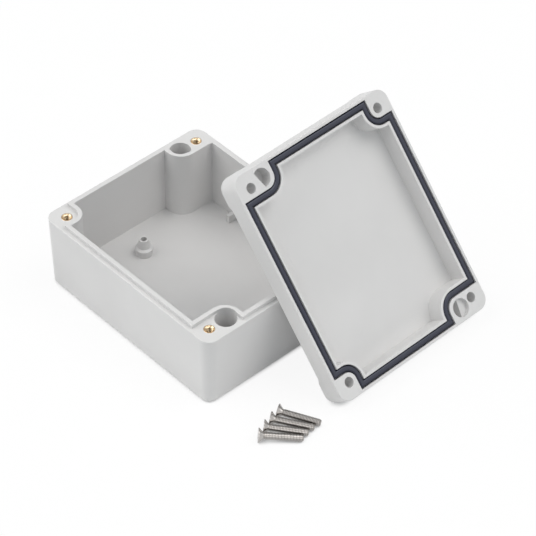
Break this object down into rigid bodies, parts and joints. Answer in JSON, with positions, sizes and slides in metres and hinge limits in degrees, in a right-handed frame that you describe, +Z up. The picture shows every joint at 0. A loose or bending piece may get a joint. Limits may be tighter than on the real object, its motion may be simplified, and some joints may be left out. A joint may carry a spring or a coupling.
{
  "type": "plastic project box",
  "caption": "Rectangular grey plastic enclosure with an open base, brass thread inserts, a sealed lid leaning on its rim and loose countersunk screws beside it.",
  "frame": {"origin": "centre of the underside of the base", "axes": "+X along the long side of the base towards the leaning lid, +Y along the short side, +Z up out of the open base"},
  "size_m": [0.1667, 0.1439, 0.0989],
  "materials": {
    "housing": "fine satin moulding",
    "seal": "matt black rubber",
    "insert_brass": "turned brass",
    "screw_steel": "plain stainless"
  },
  "bodies": {
    "root": {"base_box": "housing", "lid": "housing", "lid_gasket": "seal", "insert_front": "insert_brass", "insert_left": "insert_brass", "insert_back": "insert_brass", "insert_right": "insert_brass", "screw_1": "screw_steel", "screw_2": "screw_steel", "screw_3": "screw_steel", "screw_4": "screw_steel"}
  },
  "joints": []
}
